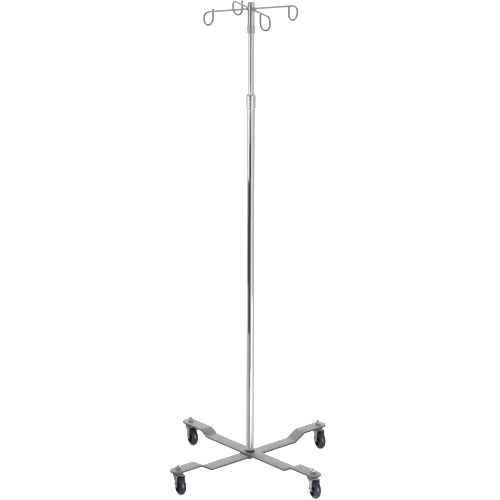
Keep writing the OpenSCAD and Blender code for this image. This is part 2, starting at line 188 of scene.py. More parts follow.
# --------------------------------------------------------------------------
# materials
# --------------------------------------------------------------------------
def chrome(name, base=(0.93, 0.935, 0.95), rough=0.03, scratch=0.0, haze=0.035):
    """Polished chrome plate: faint roll waviness, hazy patches, fine hairlines."""
    m = Material(name)
    m.set(Metallic=1.0)
    patches = m.noise(scale=22, detail=4, rough=0.6)
    hairlines = m.noise(scale=1.0, detail=3, rough=0.6, stretch=(900, 900, 18))
    tint = m.remap(patches, span=(0.35, 0.7), to=(0.0, 0.35))
    m.set(Base_Color=m.mix(tint, base, dimmed(base, 0.93)))
    hazy = m.remap(patches, span=(0.35, 0.75), to=(rough, rough + haze))
    scratched = m.remap(hairlines, span=(0.5, 0.8), to=(0.0, 0.05 + scratch))
    m.set(Roughness=m.math("ADD", hazy, scratched))
    waves = m.noise(scale=1.0, detail=1.5, rough=0.4, stretch=(60, 60, 9))
    wavy = m.bump(waves, strength=0.10, distance=0.0006)
    m.set(Normal=m.bump(hairlines, strength=0.02 + scratch * 0.3, distance=0.0002, normal=wavy))
    return m.material


def satin(name):
    """Turned satin nickel: rings round the axis and a soft sheen."""
    m = Material(name)
    base = (0.80, 0.805, 0.815)
    m.set(Metallic=1.0)
    rings = m.noise(scale=1.0, detail=4, rough=0.65, stretch=(6, 6, 2600))
    sheen = m.noise(scale=90, detail=3)
    m.set(Base_Color=m.mix(m.remap(rings, span=(0.35, 0.65)), base, dimmed(base, 0.86)))
    m.set(Roughness=m.remap(rings, span=(0.3, 0.7), to=(0.36, 0.50)))
    turned = m.bump(rings, strength=0.18, distance=0.00012)
    m.set(Normal=m.bump(sheen, strength=0.05, distance=0.0002, normal=turned))
    return m.material


def zinc(name, base=(0.47, 0.49, 0.535), rough=0.36, dark=0.72):
    """Plated pressed steel: cloudy plate, bluish patches, brighter edges, pin pits."""
    m = Material(name)
    m.set(Metallic=0.92)
    clouds = m.noise(scale=120, detail=5, rough=0.65, distortion=0.6)
    pits = m.voronoi(scale=900)
    colour = m.mix(m.remap(clouds, span=(0.32, 0.68)), dimmed(base, dark), base)
    patches = m.remap(m.noise(scale=45, detail=2), span=(0.45, 0.75), to=(0.0, 0.35))
    bluish = (base[0] * 1.05, base[1] * 1.06, base[2] * 1.16)
    colour = m.mix(patches, colour, bluish)
    worn_edge = (0.74, 0.75, 0.77)
    m.set(Base_Color=m.mix(m.math("MULTIPLY", m.edges(), 0.6), colour, worn_edge))
    m.set(Roughness=m.remap(clouds, span=(0.3, 0.7), to=(rough - 0.08, rough + 0.12)))
    pitted = m.bump(pits, strength=0.05, distance=0.0002)
    m.set(Normal=m.bump(clouds, strength=0.10, distance=0.0004, normal=pitted))
    return m.material


def fastener(name):
    """Bright cloudy metal with fine scratches."""
    m = Material(name)
    base = (0.84, 0.845, 0.85)
    m.set(Metallic=1.0)
    clouds = m.noise(scale=260, detail=4, rough=0.6)
    scratches = m.noise(scale=1.0, detail=3, rough=0.6, stretch=(2200, 300, 300))
    m.set(Base_Color=m.mix(m.remap(clouds, span=(0.35, 0.7)), base, dimmed(base, 0.80)))
    cloudy = m.remap(clouds, span=(0.3, 0.7), to=(0.10, 0.22))
    scratched = m.remap(scratches, span=(0.55, 0.8), to=(0.0, 0.10))
    m.set(Roughness=m.math("ADD", cloudy, scratched))
    scored = m.bump(scratches, strength=0.06, distance=0.0002)
    m.set(Normal=m.bump(clouds, strength=0.10, distance=0.0003, normal=scored))
    return m.material


def vein_paint(name):
    """Silver-vein powder coat: pale blisters parted by a fine darker net."""
    m = Material(name)
    net_dark, blister = (0.165, 0.170, 0.172), (0.405, 0.410, 0.410)
    grain_tone, patch_tone = (0.25, 0.255, 0.26), (0.34, 0.345, 0.35)
    edge_tone = (0.52, 0.52, 0.52)
    m.set(Metallic=0.12, Specular_IOR_Level=0.40)
    # the net's coordinates are nudged by colour noise, so that its lines wander
    warp = m.node("ShaderNodeVectorMath", operation="MULTIPLY_ADD")
    m.feed(warp.inputs[0], m.noise(scale=260, output="Color"))
    warp.inputs[1].default_value = (0.0035, 0.0035, 0.0035)
    m.feed(warp.inputs[2], m.coords)
    cells = m.voronoi(scale=270, feature="DISTANCE_TO_EDGE", vector=warp.outputs[0])
    net = m.remap(cells, span=(0.02, 0.30))
    grain = m.noise(scale=1500, detail=3, rough=0.6)
    patches = m.noise(scale=16, detail=3, rough=0.55)
    colour = m.mix(net, net_dark, blister)
    colour = m.mix(m.remap(grain, span=(0.3, 0.7), to=(0.0, 0.22)), colour, grain_tone)
    colour = m.mix(m.remap(patches, span=(0.35, 0.7), to=(0.0, 0.18)), colour, patch_tone)
    edge_share = m.math("MULTIPLY", m.edges(span=(0.515, 0.58)), 0.35)
    m.set(Base_Color=m.mix(edge_share, colour, edge_tone))
    net_rough = m.remap(net, span=(0.0, 1.0), to=(0.56, 0.40))
    grain_rough = m.remap(grain, span=(0.3, 0.7), to=(-0.05, 0.06))
    m.set(Roughness=m.math("ADD", net_rough, grain_rough))
    blistered = m.bump(net, strength=0.22, distance=0.0004)
    m.set(Normal=m.bump(grain, strength=0.10, distance=0.0002, normal=blistered))
    return m.material


def plastic(name, base, rough):
    """Grained plastic with a trace of dust."""
    m = Material(name)
    dust_tone = (0.35, 0.34, 0.33)
    grain = m.noise(scale=900, detail=3, rough=0.6)
    dust = m.noise(scale=60, detail=3, rough=0.6)
    lighter = tuple(min(1, channel * 1.35 + 0.004) for channel in base)
    colour = m.mix(m.remap(grain, span=(0.3, 0.7), to=(0.0, 0.24)), base, lighter)
    colour = m.mix(m.remap(dust, span=(0.45, 0.8), to=(0.0, 0.06)), colour, dust_tone)
    m.set(Base_Color=colour)
    m.set(Roughness=m.remap(dust, span=(0.3, 0.7), to=(rough - 0.06, rough + 0.08)))
    m.set(Normal=m.bump(grain, strength=0.12, distance=0.0002))
    return m.material


def rubber(name):
    """Moulded blue-black rubber: glossy skin, grey scuffs, a trace of dust."""
    m = Material(name)
    base, dusty, scuffed = (0.0070, 0.0105, 0.0200), (0.012, 0.016, 0.027), (0.10, 0.10, 0.10)
    grain = m.noise(scale=1400, detail=3, rough=0.6)
    dust = m.noise(scale=120, detail=4, rough=0.65)
    scuffs = m.noise(scale=1.0, detail=3, rough=0.7, stretch=(500, 500, 60))
    colour = m.mix(m.remap(dust, span=(0.35, 0.75), to=(0.0, 0.6)), base, dusty)
    colour = m.mix(m.remap(scuffs, span=(0.62, 0.85), to=(0.0, 0.25)), colour, scuffed)
    m.set(Base_Color=colour)
    dust_rough = m.remap(dust, span=(0.3, 0.7), to=(0.34, 0.44))
    scuff_rough = m.remap(scuffs, span=(0.6, 0.85), to=(0.0, 0.12))
    m.set(Roughness=m.math("ADD", dust_rough, scuff_rough), Specular_IOR_Level=0.5)
    grained = m.bump(grain, strength=0.05, distance=0.0002)
    m.set(Normal=m.bump(dust, strength=0.08, distance=0.0004, normal=grained))
    return m.material


MATERIALS = {
    "leg": vein_paint("vein_powder_coat"),
    "chrome": chrome("chrome_tube"),
    "chrome_slide": chrome("chrome_sliding_tube", scratch=0.03, haze=0.04),
    "chrome_wire": chrome("chrome_wire", base=(0.45, 0.46, 0.475), rough=0.05, haze=0.05),
    "chrome_head": chrome("chrome_head", base=(0.86, 0.87, 0.88), rough=0.04),
    "chrome_collar": chrome("chrome_collar", base=(0.95, 0.955, 0.96), rough=0.13, haze=0.05),
    "satin": satin("satin_nickel"),
    "zinc": zinc("zinc_plate"),
    "zinc_bright": zinc("zinc_bright", base=(0.60, 0.62, 0.66), rough=0.28, dark=0.85),
    "bolt": fastener("bright_fastener"),
    "black_steel": zinc("blackened_steel", base=(0.060, 0.060, 0.064), rough=0.30, dark=0.6),
    "ball": chrome("ball_steel", rough=0.12),
    "nylon": plastic("dark_nylon", base=(0.018, 0.018, 0.020), rough=0.5),
    "black": plastic("black_plastic", base=(0.008, 0.008, 0.010), rough=0.42),
    "white": plastic("white_nylon", base=(0.72, 0.72, 0.69), rough=0.42),
    "hub": plastic("hub_plastic", base=(0.012, 0.0135, 0.020), rough=0.40),
    "rubber": rubber("wheel_rubber"),
}

NODE_FINISH = {
    "base_bolt": "bolt", "base_flat_washer": "bolt", "base_lock_washer": "bolt",
    "foot_plug": "bolt", "stem_lock_washers": "bolt", "stem_nuts": "bolt",
    "caster_stems": "bolt", "upper_races": "zinc_bright",
    "collar_ferrule": "satin", "head_sleeve": "satin",
    "collet": "nylon", "inner_tube_plug": "nylon",
    "collar_wiper": "black", "head_plug": "black", "guide_bushing": "white",
    "upper_leg_bar": "leg", "lower_leg_bar": "leg", "foot_ring": "black_steel",
    "lower_tube": "chrome", "inner_tube": "chrome_slide",
    "lock_collar": "chrome_collar", "head_tube": "chrome_collar",
}
CASTER_FINISH = {
    "swivel_balls": "ball", "axle": "bolt", "axle_nut": "bolt", "axle_sleeve": "bolt",
    "fork": "zinc", "hub": "hub", "tyre": "rubber",
}
for corner in CORNERS:
    for piece, finish in CASTER_FINISH.items():
        NODE_FINISH[f"{piece}_{corner}"] = finish
for number in range(1, 5):
    NODE_FINISH[f"hook_{number}"] = "chrome_wire"


# --------------------------------------------------------------------------
# mesh helpers
# --------------------------------------------------------------------------
def shade_smooth(mesh, sharp):
    """Smooth faces, with edges over `sharp` degrees kept crisp."""
    mesh.polygons.foreach_set("use_smooth", [True] * len(mesh.polygons))
    mesh.set_sharp_from_angle(angle=math.radians(sharp))


def link_mesh(name, bm):
    bmesh.ops.recalc_face_normals(bm, faces=bm.faces)
    mesh = bpy.data.meshes.new(name)
    bm.to_mesh(mesh)
    bm.free()
    ob = bpy.data.objects.new(name, mesh)
    scene.collection.objects.link(ob)
    return ob


def add_piece(name, bm, finish, body, sharp, node):
    """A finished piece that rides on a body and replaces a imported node."""
    ob = link_mesh(name, bm)
    shade_smooth(ob.data, sharp)
    ob.data.materials.append(MATERIALS[finish])
    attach(ob, body)
    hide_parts(node)
    return ob


def add_bevel(ob, width, segments, angle):
    bevel = ob.modifiers.new("edge", "BEVEL")
    bevel.width = width * MM
    bevel.segments = segments
    bevel.limit_method = "ANGLE"
    bevel.angle_limit = math.radians(angle)


def rot_z(degrees):
    return Matrix.Rotation(math.radians(degrees), 4, "Z")


def fillet(profile, radius=0.3, steps=4):
    """Rounds the corners of a closed profile of (r, z) or (r, z, corner radius) points."""
    rounded = []
    for i, point in enumerate(profile):
        corner_radius = point[2] if len(point) > 2 else radius
        here = Vector(point[:2])
        back = Vector(profile[i - 1][:2]) - here
        ahead = Vector(profile[(i + 1) % len(profile)][:2]) - here
        back_length, ahead_length = back.length, ahead.length
        if corner_radius <= 0 or back_length < 1e-6 or ahead_length < 1e-6:
            rounded.append((point[0], point[1]))
            continue
        back.normalize()
        ahead.normalize()
        angle = back.angle(ahead)
        if angle > math.radians(174):
            rounded.append((point[0], point[1]))
            continue
        # the arc starts this far from the corner, and never takes half of a side
        setback = min(corner_radius / math.tan(angle / 2), back_length * 0.45,
                      ahead_length * 0.45)
        arc_radius = setback * math.tan(angle / 2)
        centre = here + (back + ahead).normalized() * (arc_radius / math.sin(angle / 2))
        start = here + back * setback - centre
        end = here + ahead * setback - centre
        sign = 1 if start.x * end.y - start.y * end.x > 0 else -1
        for k in range(steps + 1):
            turn = sign * (math.pi - angle) * k / steps
            rounded.append((centre.x + start.x * math.cos(turn) - start.y * math.sin(turn),
                            centre.y + start.x * math.sin(turn) + start.y * math.cos(turn)))
    return rounded


def add_supports(profile, gap=0.8):
    """Points near both ends of long straight runs, so smooth shading stays true there."""
    supported = []
    for (r0, z0), (r1, z1) in zip(profile, profile[1:] + [profile[0]]):
        supported.append((r0, z0))
        length = math.hypot(r1 - r0, z1 - z0)
        if length > 4 * gap:
            for t in (gap / length, 1 - gap / length):
                supported.append((r0 + (r1 - r0) * t, z0 + (z1 - z0) * t))
    return supported


def add_ring(bm, radii, z, matrix):
    """A ring about Z with one radius per segment; a single vertex on the axis if they are 0."""
    if max(radii) < 1e-5:
        return [bm.verts.new(matrix @ Vector((0, 0, z * MM)))]
    ring = []
    for k, radius in enumerate(radii):
        angle = 2 * math.pi * k / len(radii)
        ring.append(bm.verts.new(matrix @ Vector((
            radius * MM * math.cos(angle), radius * MM * math.sin(angle), z * MM))))
    return ring


def join_rings(bm, first, second, segments):
    if len(first) == 1 and len(second) == 1:
        return
    for k in range(segments):
        k2 = (k + 1) % segments
        if len(first) == 1:
            bm.faces.new((first[0], second[k], second[k2]))
        elif len(second) == 1:
            bm.faces.new((first[k], second[0], first[k2]))
        else:
            bm.faces.new((first[k], second[k], second[k2], first[k2]))


def revolve(bm, profile, segments, matrix=Matrix.Identity(4), closed=True):
    """Turns a profile about Z; closed=False leaves its last point unjoined to its first."""
    rings = [add_ring(bm, [radius] * segments, z, matrix) for radius, z in profile]
    following = rings[1:] + rings[:1] if closed else rings[1:]
    for first, second in zip(rings, following):
        join_rings(bm, first, second, segments)


def lathe(name, profile, finish, body, node):
    """A turned piece on the pole's axis."""
    bm = bmesh.new()
    revolve(bm, add_supports(profile), segments=128)
    add_piece(name, bm, finish, body, 32, node)


def sweep_wire(bm, path, radii, segments):
    """Round rod along a path in metres that starts level; a radius of 0 closes its end."""
    last = len(path) - 1
    side = Vector((0, 0, 1))
    rings = []
    for i, (point, radius) in enumerate(zip(path, radii)):
        along = (path[min(i + 1, last)] - path[max(i - 1, 0)]).normalized()
        side = (side - along * side.dot(along)).normalized()
        across = along.cross(side)
        if radius < 1e-7:
            rings.append([bm.verts.new(point)])
            continue
        ring = []
        for k in range(segments):
            angle = 2 * math.pi * k / segments
            offset = side * math.cos(angle) + across * math.sin(angle)
            ring.append(bm.verts.new(point + offset * radius))
        rings.append(ring)
    for first, second in zip(rings, rings[1:]):
        for k in range(segments):
            k2 = (k + 1) % segments
            if len(second) == 1:
                bm.faces.new((first[k], first[k2], second[0]))
            else:
                bm.faces.new((first[k], first[k2], second[k2], second[k]))
    bm.faces.new(rings[0])


for name, ob in NODES.items():
    ob.data.materials.clear()
    ob.data.materials.append(MATERIALS[NODE_FINISH[name]])
    shade_smooth(ob.data, 28)

# --------------------------------------------------------------------------
# leg bars: a flat blank with rounded edges, bent along its joggle
# --------------------------------------------------------------------------
BAR_THICK = 6.35
BAR_WIDTH = 44.45
BAR_TIP = 295.0               # pole axis to the centre of each round tip
BAR_EDGE = 0.95               # rounding of the long edges
JOGGLE_ANGLE = math.radians(30)
BEND_INNER = 8.0
BEND_OUTER = BEND_INNER + BAR_THICK
BEND_MIDDLE = BEND_INNER + BAR_THICK / 2


def bar_edge_rings():
    """(inset, height over the underside) from the underside's rim to the top's rim."""
    lower = []
    for k in range(5):
        angle = math.pi / 2 * k / 4
        lower.append((BAR_EDGE * (1 - math.sin(angle)), BAR_EDGE * (1 - math.cos(angle))))
    return lower + [(inset, BAR_THICK - height) for inset, height in reversed(lower)]


def leg_bar(name, node, direction, joggle_at):
    """Bar turned `direction` degrees from X, its joggles centred `joggle_at` from the axis."""
    low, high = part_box(node)
    rise = (high.z - low.z) / MM - BAR_THICK
    sin_a, cos_a = math.sin(JOGGLE_ANGLE), math.cos(JOGGLE_ANGLE)
    slope = (rise - (BEND_INNER + BEND_OUTER) * (1 - cos_a)) / sin_a
    span = (BEND_INNER + BEND_OUTER) * sin_a + slope * cos_a
    bend_x = joggle_at - span / 2
    arc = BEND_MIDDLE * JOGGLE_ANGLE
    # unrolled distances from the middle: bend up, slope, bend back, end flat, tip centre
    bend_up = bend_x
    slope_start = bend_up + arc
    slope_end = bend_up + arc + slope
    flat_start = slope_end + arc
    tip_centre = flat_start + BAR_TIP - (bend_x + span)

    def place(distance, height, y):
        """Point of the bent bar for an unrolled distance and a height over the underside."""
        sign = 1 if distance >= 0 else -1
        s = abs(distance)
        tilt = 0.0
        if s <= bend_up:
            x, z = s, BAR_THICK / 2
        elif s <= slope_start:
            tilt = (s - bend_up) / BEND_MIDDLE
            x = bend_x + BEND_MIDDLE * math.sin(tilt)
            z = BEND_OUTER - BEND_MIDDLE * math.cos(tilt)
        elif s <= slope_end:
            tilt = JOGGLE_ANGLE
            run = s - slope_start
            x = bend_x + BEND_MIDDLE * sin_a + run * cos_a
            z = BEND_OUTER - BEND_MIDDLE * cos_a + run * sin_a
        elif s <= flat_start:
            tilt = JOGGLE_ANGLE - (s - slope_end) / BEND_MIDDLE
            x = bend_x + span - BEND_MIDDLE * math.sin(tilt)
            z = rise + BAR_THICK / 2 - BEND_MIDDLE * (1 - math.cos(tilt))
        else:
            x, z = bend_x + span + (s - flat_start), rise + BAR_THICK / 2
        offset = height - BAR_THICK / 2
        return Vector((sign * (x - offset * math.sin(tilt)), y, z + offset * math.cos(tilt)))

    # stations: (unrolled distance, angle round the tip)
    half = []
    for start, end, steps in ((0, bend_up, 16), (bend_up, slope_start, 8),
                              (slope_start, slope_end, 6), (slope_end, flat_start, 8),
                              (flat_start, tip_centre, 10)):
        half += [(start + (end - start) * i / steps, 0.0) for i in range(steps)]
    half += [(tip_centre, math.pi / 2 * i / 24) for i in range(25)]
    stations = [(-distance, angle) for distance, angle in reversed(half[1:])] + half

    bm = bmesh.new()
    turn = Matrix.Translation((0, 0, low.z / MM * MM)) @ rot_z(direction)
    rings = bar_edge_rings()
    columns = []
    for distance, angle in stations:
        left, right = [], []
        sign = 1 if distance >= 0 else -1
        for inset, height in rings:
            reach = BAR_WIDTH / 2 - inset
            s = sign * (abs(distance) + reach * math.sin(angle))
            y = reach * math.cos(angle)
            left.append(bm.verts.new(turn @ (place(s, height, y) * MM)))
            right.append(bm.verts.new(turn @ (place(s, height, -y) * MM)))
        columns.append((left, right))
    for (l1, r1), (l2, r2) in zip(columns, columns[1:]):
        for k in range(len(rings) - 1):
            bm.faces.new((l1[k], l2[k], l2[k + 1], l1[k + 1]))
            bm.faces.new((r1[k], r1[k + 1], r2[k + 1], r2[k]))
        bm.faces.new((l1[0], r1[0], r2[0], l2[0]))
        bm.faces.new((l1[-1], l2[-1], r2[-1], r1[-1]))
    # the two sides meet at each tip
    bmesh.ops.remove_doubles(bm, verts=bm.verts, dist=1e-6)
    bmesh.ops.dissolve_degenerate(bm, dist=1e-7, edges=bm.edges)
    add_piece(name, bm, "leg", "base", 40, node)


leg_bar("leg_bar_over", "upper_leg_bar", direction=-45, joggle_at=197.5)
leg_bar("leg_bar_under", "lower_leg_bar", direction=45, joggle_at=194.0)


# --------------------------------------------------------------------------
# pole, collar and head; profile points are (radius, height, corner radius)
# --------------------------------------------------------------------------
def tube(name, node, radius, wall, corner_radius, finish, body):
    low, high = bottom(node), top(node)
    lathe(name, fillet([(radius - wall, low), (radius, low), (radius, high),
                        (radius - wall, high)], corner_radius), finish, body, node)


def foot_escutcheon():
    """Stepped ring round the foot of the lower tube."""
    r, z = LOWER_R, LOWER_BOTTOM
    profile = [
        (r + 0.02, z), (r + 1.9, z, 0.1), (r + 1.9, z + 2.3, 0.5), (r + 1.5, z + 3.0, 0.5),
        (r + 0.9, z + 4.2, 0.6), (r + 0.65, z + 5.5, 0.4), (r + 0.3, z + 5.95, 0.2),
        (r + 0.02, z + 5.95, 0.1)]
    lathe("foot_escutcheon", fillet(profile), "black_steel", "base", "foot_ring")


def twist_collar():
    low, high = bottom("lock_collar"), top("lock_collar")
    r = COLLAR_R
    cone = LOWER_TOP + 4      # reference height of the tapered bore
    outside = [
        (LOWER_R + 0.09, low, 0.2), (r - 2.2, low, 0.6), (r - 1.2, low + 0.5, 0.5),
        (r, low + 2.6, 1.0), (r, high - 4.4, 0.25), (r - 0.55, high - 3.95, 0.15),
        (r - 0.55, high - 3.1, 0.15), (r - 0.1, high - 2.75, 0.2), (r - 0.5, high - 0.9, 0.6),
        (r - 1.7, high, 0.5)]
    bore = [
        (UPPER_R + 2.62, high, 0.25), (UPPER_R + 2.62, high - 4, 0), (UPPER_R + 0.3, high - 4, 0),
        (UPPER_R + 0.3, cone + 12, 0), (UPPER_R + 2.06, cone + 12, 0),
        (UPPER_R + 2.06, cone + 11, 0), (LOWER_R + 0.05, cone + 2.6, 0),
        (LOWER_R + 1.03, cone + 1, 0), (LOWER_R + 1.03, low + 4.6, 0),
        (LOWER_R + 0.09, low + 4.6, 0)]
    lathe("twist_lock_collar", fillet(outside + bore), "chrome_collar", "twist_collar",
          "lock_collar")


def head_barrel():
    """Barrel open below to take the sliding tube, and recessed at the top."""
    seat = HEAD_BOTTOM + 54
    recess = HEAD_TOP - 9
    r = HEAD_R
    profile = [
        (UPPER_R + 0.08, HEAD_BOTTOM + 0.8, 0.2), (UPPER_R + 0.88, HEAD_BOTTOM, 0.2),
        (r - 0.02, HEAD_BOTTOM, 0), (r - 0.02, SLEEVE_TOP, 0), (r, SLEEVE_TOP + 0.01, 0),
        (r, HEAD_TOP - 0.5, 0.5), (r - 0.5, HEAD_TOP, 0.4), (r - 1.7, HEAD_TOP, 0.2),
        (r - 1.7, recess, 0), (0, recess, 0), (0, seat, 0), (UPPER_R + 0.08, seat, 0)]
    lathe("head_barrel", fillet(profile), "chrome_head", "head", "head_tube")


def head_foot_sleeve():
    """Sleeve round the barrel's foot, with a shallow groove."""
    r, z = SLEEVE_R, HEAD_BOTTOM
    profile = [
        (HEAD_R, z, 0), (r, z, 0.6), (r, z + 2.2, 0.12), (r - 0.25, z + 2.5, 0.1),
        (r - 0.25, z + 3.1, 0.1), (r, z + 3.4, 0.12), (r, SLEEVE_TOP, 1.0),
        (HEAD_R, SLEEVE_TOP, 0)]
    lathe("head_foot_sleeve", fillet(profile), "satin", "head", "head_sleeve")


tube("tube_lower", "lower_tube", LOWER_R, 1.65, 0.25, "chrome", "base")
tube("tube_upper", "inner_tube", UPPER_R, 1.25, 0.3, "chrome_slide", "inner_pole")
foot_escutcheon()
twist_collar()
head_barrel()
head_foot_sleeve()

# --------------------------------------------------------------------------
# hooks: bent wire with a weld bead at the root; each is drawn running out along X
# --------------------------------------------------------------------------
WIRE_R = 3.175
HOOK_REACH = 148.0            # pole axis to the falling wire
LOOP_BACK = 34.0              # from the falling wire to the tip, towards the pole
LOOP_SIDE = 16.0              # and sideways, towards -Y
ARM_BEND = 17.0
HOOK_DROP = 5.0               # step down from the arm's bend to the loop
TIP_RISE = 25.0
TIP_DOME = 0.88               # height of the tip's dome over the wire's radius
ROOT_DEPTH = 2.5              # how far the wire starts inside the barrel's surface
HOOK_TURN = 25.3              # degrees from X to the first hook
ARM_Z = HEAD_TOP - 19.4

# weld bead section: (radius over the wire's, reach from the barrel, share of the ripple)
BEAD_SECTION = [
    (-0.4, 3.0, 0), (0.25, 2.75, 0), (0.75, 1.9, 0.5), (1.35, 1.0, 1), (1.75, 0.35, 1),
    (1.85, -0.3, 1), (-0.4, -0.9, 0)]
BEAD_SEGMENTS = 72


def hook_path():
    root_x, bend_x = HEAD_R - ROOT_DEPTH, HOOK_REACH - ARM_BEND
    path = [Vector((root_x + (bend_x - root_x) * i / 14, 0, ARM_Z)) for i in range(14)]
    for i in range(13):
        angle = math.pi / 2 * i / 12
        path.append(Vector((bend_x + ARM_BEND * math.sin(angle), 0,
                            ARM_Z - ARM_BEND * (1 - math.cos(angle)))))
    loop_r = math.hypot(LOOP_BACK, LOOP_SIDE) / 2
    across = Vector((-LOOP_BACK, -LOOP_SIDE, 0)).normalized()
    loop_start = Vector((HOOK_REACH, 0, ARM_Z - ARM_BEND - HOOK_DROP))
    for i in range(33):
        angle = math.pi * i / 32
        path.append(loop_start + across * (loop_r * (1 - math.cos(angle)))
                    + Vector((0, 0, -loop_r * math.sin(angle))))
    loop_end = path[-1]
    return path + [loop_end + Vector((0, 0, TIP_RISE * i / 7)) for i in range(1, 8)]


def weld_bead(bm, turn, number):
    """Lumpy ring hugging the barrel; its ripples differ from hook to hook."""
    rings = []
    for k in range(BEAD_SEGMENTS):
        angle = 2 * math.pi * k / BEAD_SEGMENTS
        ripple = 0.16 * math.sin(11 * angle + number * 1.3) + 0.08 * math.sin(23 * angle + number)
        ring = []
        for over, reach, share in BEAD_SECTION:
            radius = WIRE_R + over + ripple * share
            y = radius * math.cos(angle)
            surface = math.sqrt(max(HEAD_R * HEAD_R - y * y, 0.0))
            point = Vector((surface + reach, y, ARM_Z + radius * math.sin(angle)))
            ring.append(bm.verts.new(turn @ (point * MM)))
        rings.append(ring)
    for first, second in zip(rings, rings[1:] + rings[:1]):
        for j in range(len(first)):
            j2 = (j + 1) % len(first)
            bm.faces.new((first[j], second[j], second[j2], first[j2]))


def hook(number):
    path = hook_path()
    radii = [WIRE_R] * len(path)
    end = path[-1]
    for degrees in (15, 30, 45, 60, 75, 90):
        angle = math.radians(degrees)
        path.append(end + Vector((0, 0, WIRE_R * TIP_DOME * math.sin(angle))))
        radii.append(WIRE_R * math.cos(angle))
    turn = rot_z(HOOK_TURN + 90 * (number - 1))
    bm = bmesh.new()
    sweep_wire(bm, [turn @ (p * MM) for p in path], [r * MM for r in radii], segments=28)
    weld_bead(bm, turn, number)
    add_piece(f"hook_wire_{number}", bm, "chrome_wire", "head", 40, f"hook_{number}")


for number in range(1, 5):
    hook(number)

# --------------------------------------------------------------------------
# casters; in a caster's own frame the swivel axis is Z and the wheel trails along +X
# --------------------------------------------------------------------------
CASTER_TURN = -61.0           # degrees from the stand's X to a caster's X
TRAIL = 15.0
AXLE_Z = WHEEL_R
CHEEK_IN = 12.8               # middle plane to a cheek's inner face
SHEET = 2.4                   # fork sheet thickness
CROWN_TOP = top("fork_rf")
CROWN_UNDER = CROWN_TOP - SHEET
LEG_UNDER = top("upper_races")
LEG_TOP = LEG_UNDER + BAR_THICK
EYE_R = 5.0                   # round end of a cheek about the axle

STEM_R = 5.0
THREAD_PITCH = 1.5
THREAD_DEPTH = 0.78
THREAD_FLAT = 0.12            # share of the thread's wave cut flat at crest and at root
THREAD_START = LEG_UNDER - 3
STEM_NUT = 10.2               # leg's top to the nut's top
STEM_PROUD = 5.8              # stem showing over the nut
STEM_CHAMFER = 1.2
STEM_SEGMENTS = 48
# headed lower end of the stem: (radius, height)
STEM_HEAD = [
    (0, CROWN_UNDER - 1.1), (4.7, CROWN_UNDER - 1.1), (5.4, CROWN_UNDER - 1.0),
    (6.0, CROWN_UNDER - 0.6), (6.2, CROWN_UNDER - 0.1), (4.83, CROWN_UNDER - 0.08),
    (4.83, THREAD_START)]


def caster_frame(corner):
    x, y = JOINTS[f"swivel_{corner}"]["pos_m"][:2]
    return Matrix.Translation((x, y, 0)) @ rot_z(CASTER_TURN)


def axle_frame(caster):
    """Frame at the wheel's centre with its Z along the axle."""
    return (caster @ Matrix.Translation((TRAIL * MM, 0, AXLE_Z * MM))
            @ Matrix.Rotation(math.radians(90), 4, "X"))


def thread_radius(z, k, stem_top):
    """Radius of the helical thread at height z on segment k."""
    turn = (z / THREAD_PITCH - k / STEM_SEGMENTS) % 1.0
    wave = (abs(2 * turn - 1) - THREAD_FLAT) / (1 - 2 * THREAD_FLAT)
    radius = STEM_R - THREAD_DEPTH * min(max(wave, 0), 1)
    below_top = stem_top - z
    if below_top < STEM_CHAMFER:
        radius = min(radius, STEM_R - STEM_CHAMFER + below_top)
    return radius


def threaded_stems():
    """The four stems, in one piece."""
    bm = bmesh.new()
    stem_top = LEG_TOP + STEM_NUT + STEM_PROUD
    steps = int((stem_top - THREAD_START) / (THREAD_PITCH / 10))
    for corner in CORNERS:
        caster = caster_frame(corner)
        rings = [add_ring(bm, [r] * STEM_SEGMENTS, z, caster) for r, z in STEM_HEAD]
        for j in range(steps + 1):
            z = THREAD_START + (stem_top - LEG_UNDER + 3) * j / steps
            radii = [thread_radius(z, k, stem_top) for k in range(STEM_SEGMENTS)]
            rings.append(add_ring(bm, radii, z, caster))
        rings.append(add_ring(bm, [0], stem_top, caster))
        for first, second in zip(rings, rings[1:]):
            join_rings(bm, first, second, STEM_SEGMENTS)
    add_piece("threaded_stems", bm, "bolt", "base", 50, "caster_stems")


def raceway_cups():
    """The four cups over the fork crowns, in one piece."""
    bm = bmesh.new()
    rim = CROWN_TOP + 0.35
    profile = fillet([
        (STEM_R, LEG_UNDER - 3, 0), (STEM_R, LEG_UNDER - 0.02, 0),
        (11.2, LEG_UNDER - 0.02, 0.9), (12.9, LEG_UNDER - 1.5, 0.9),
        (13.4, rim + 1.2, 0.5), (13.4, rim, 0.2), (11.9, rim, 0.2),
        (11.7, LEG_UNDER - 3, 0.8)], steps=5)
    for corner in CORNERS:
        revolve(bm, profile, segments=72, matrix=caster_frame(corner))
    add_piece("raceway_cups", bm, "zinc_bright", "base", 35, "upper_races")


BEND_R = 2.6                  # bend radius of the fork sheet's middle
SHOULDER_Z = CROWN_UNDER - 2.6
# a cheek's edge towards the swivel axis, downwards: (height, x from the axle)
CHEEK_BACK = [
    (SHOULDER_Z, -25.0), (AXLE_Z + 27, -22.0), (AXLE_Z + 22.6, -17.0),
    (AXLE_Z + 18.4, -13.4), (AXLE_Z + 13.6, -10.4), (AXLE_Z + 8, -7.8), (AXLE_Z, -EYE_R)]
# x of the crown's two edges where it leaves the bends, and their bulge at its middle
CROWN_BACK, CROWN_FRONT = -12.8, 17.8
CROWN_BACK_BULGE, CROWN_FRONT_BULGE = 2.9, 0.2
SHOULDER_TAPER = 2.0          # how far the +X edge draws in over the shoulder


